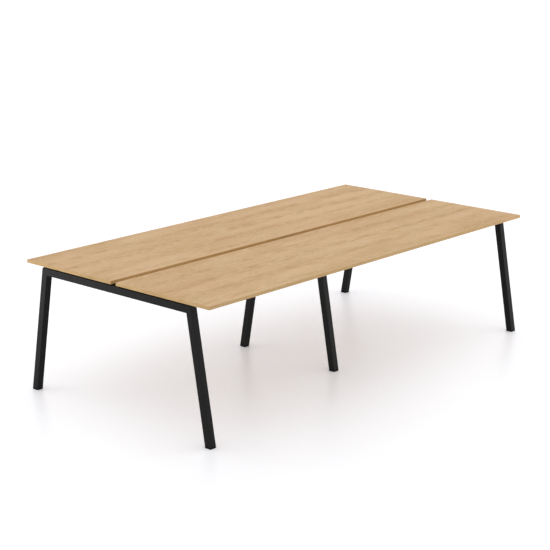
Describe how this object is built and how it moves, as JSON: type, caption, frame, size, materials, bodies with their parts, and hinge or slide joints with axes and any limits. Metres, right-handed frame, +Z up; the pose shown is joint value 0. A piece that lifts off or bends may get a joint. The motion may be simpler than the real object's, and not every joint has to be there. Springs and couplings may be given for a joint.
{
  "type": "conference table",
  "caption": "Long meeting table: oak-look tops side by side with a cable gap between them, on splayed black square-tube frames with screw-in levelling feet.",
  "frame": {"origin": "on the floor, under the middle of the table", "axes": "+X along the table's length, +Y across it towards its back, +Z up"},
  "size_m": [2.75, 1.4, 0.75],
  "materials": {
    "oak_face": "matt oak-look face with a fine grain along the table",
    "oak_edge": "oak-look edge strip, a little yellower than the face",
    "black_steel": "fine-textured black powder coat",
    "black_plastic": "moulded black plastic",
    "pad_plastic": "dark grey moulded plastic",
    "rubber": "matt black rubber",
    "zinc_steel": "zinc-plated steel"
  },
  "bodies": {
    "table": {"top_front": "oak_face", "top_back": "oak_face", "edge_strip_front_outer": "oak_edge", "edge_strip_front_inner": "oak_edge", "edge_strip_front_left": "oak_edge", "edge_strip_front_right": "oak_edge", "edge_strip_back_outer": "oak_edge", "edge_strip_back_inner": "oak_edge", "edge_strip_back_left": "oak_edge", "edge_strip_back_right": "oak_edge", "left_crossbar": "black_steel", "left_front_leg": "black_steel", "left_back_leg": "black_steel", "middle_crossbar": "black_steel", "middle_front_leg": "black_steel", "middle_back_leg": "black_steel", "right_crossbar": "black_steel", "right_front_leg": "black_steel", "right_back_leg": "black_steel", "beam_left_front": "black_steel", "beam_left_back": "black_steel", "beam_right_front": "black_steel", "beam_right_back": "black_steel", "beam_plate_left_front_inner": "black_steel", "beam_plate_left_front_outer": "black_steel", "beam_plate_left_back_inner": "black_steel", "beam_plate_left_back_outer": "black_steel", "beam_plate_right_front_inner": "black_steel", "beam_plate_right_front_outer": "black_steel", "beam_plate_right_back_inner": "black_steel", "beam_plate_right_back_outer": "black_steel", "spacer_left_front_inner": "rubber", "spacer_left_front_outer": "rubber", "spacer_left_back_inner": "rubber", "spacer_left_back_outer": "rubber", "spacer_middle_front_inner": "rubber", "spacer_middle_back_inner": "rubber", "spacer_right_front_inner": "rubber", "spacer_right_front_outer": "rubber", "spacer_right_back_inner": "rubber", "spacer_right_back_outer": "rubber", "foot_cap_left_front": "black_plastic", "foot_cap_left_back": "black_plastic", "foot_cap_middle_front": "black_plastic", "foot_cap_middle_back": "black_plastic", "foot_cap_right_front": "black_plastic", "foot_cap_right_back": "black_plastic"},
    "pad_left_front": {"foot_pad_left_front": "pad_plastic"},
    "pad_left_back": {"foot_pad_left_back": "pad_plastic"},
    "pad_middle_front": {"foot_pad_middle_front": "pad_plastic"},
    "pad_middle_back": {"foot_pad_middle_back": "pad_plastic"},
    "pad_right_front": {"foot_pad_right_front": "pad_plastic"},
    "pad_right_back": {"foot_pad_right_back": "pad_plastic"},
    "stud_left_front": {"foot_stud_left_front": "zinc_steel"},
    "stud_left_back": {"foot_stud_left_back": "zinc_steel"},
    "stud_middle_front": {"foot_stud_middle_front": "zinc_steel"},
    "stud_middle_back": {"foot_stud_middle_back": "zinc_steel"},
    "stud_right_front": {"foot_stud_right_front": "zinc_steel"},
    "stud_right_back": {"foot_stud_right_back": "zinc_steel"}
  },
  "joints": [
    {"name": "left_front_foot_travel", "type": "slide", "parent": "table", "child": "pad_left_front", "axis": [0, 0, -1], "range_m": [0, 0.01]},
    {"name": "left_front_foot_turn", "type": "hinge", "parent": "pad_left_front", "child": "stud_left_front", "pos_m": [-1.355, -0.67683, 0], "axis": [0, 0, -1], "range_deg": [0, 2880]},
    {"name": "left_back_foot_travel", "type": "slide", "parent": "table", "child": "pad_left_back", "axis": [0, 0, -1], "range_m": [0, 0.01]},
    {"name": "left_back_foot_turn", "type": "hinge", "parent": "pad_left_back", "child": "stud_left_back", "pos_m": [-1.355, 0.67683, 0], "axis": [0, 0, -1], "range_deg": [0, 2880]},
    {"name": "middle_front_foot_travel", "type": "slide", "parent": "table", "child": "pad_middle_front", "axis": [0, 0, -1], "range_m": [0, 0.01]},
    {"name": "middle_front_foot_turn", "type": "hinge", "parent": "pad_middle_front", "child": "stud_middle_front", "pos_m": [0, -0.35433, 0], "axis": [0, 0, -1], "range_deg": [0, 2880]},
    {"name": "middle_back_foot_travel", "type": "slide", "parent": "table", "child": "pad_middle_back", "axis": [0, 0, -1], "range_m": [0, 0.01]},
    {"name": "middle_back_foot_turn", "type": "hinge", "parent": "pad_middle_back", "child": "stud_middle_back", "pos_m": [0, 0.35433, 0], "axis": [0, 0, -1], "range_deg": [0, 2880]},
    {"name": "right_front_foot_travel", "type": "slide", "parent": "table", "child": "pad_right_front", "axis": [0, 0, -1], "range_m": [0, 0.01]},
    {"name": "right_front_foot_turn", "type": "hinge", "parent": "pad_right_front", "child": "stud_right_front", "pos_m": [1.355, -0.67683, 0], "axis": [0, 0, -1], "range_deg": [0, 2880]},
    {"name": "right_back_foot_travel", "type": "slide", "parent": "table", "child": "pad_right_back", "axis": [0, 0, -1], "range_m": [0, 0.01]},
    {"name": "right_back_foot_turn", "type": "hinge", "parent": "pad_right_back", "child": "stud_right_back", "pos_m": [1.355, 0.67683, 0], "axis": [0, 0, -1], "range_deg": [0, 2880]}
  ],
  "couplings": [
    {"joint": "left_front_foot_travel", "follows": "left_front_foot_turn", "m_per_rad": 0.00019894},
    {"joint": "left_back_foot_travel", "follows": "left_back_foot_turn", "m_per_rad": 0.00019894},
    {"joint": "middle_front_foot_travel", "follows": "middle_front_foot_turn", "m_per_rad": 0.00019894},
    {"joint": "middle_back_foot_travel", "follows": "middle_back_foot_turn", "m_per_rad": 0.00019894},
    {"joint": "right_front_foot_travel", "follows": "right_front_foot_turn", "m_per_rad": 0.00019894},
    {"joint": "right_back_foot_travel", "follows": "right_back_foot_turn", "m_per_rad": 0.00019894}
  ]
}
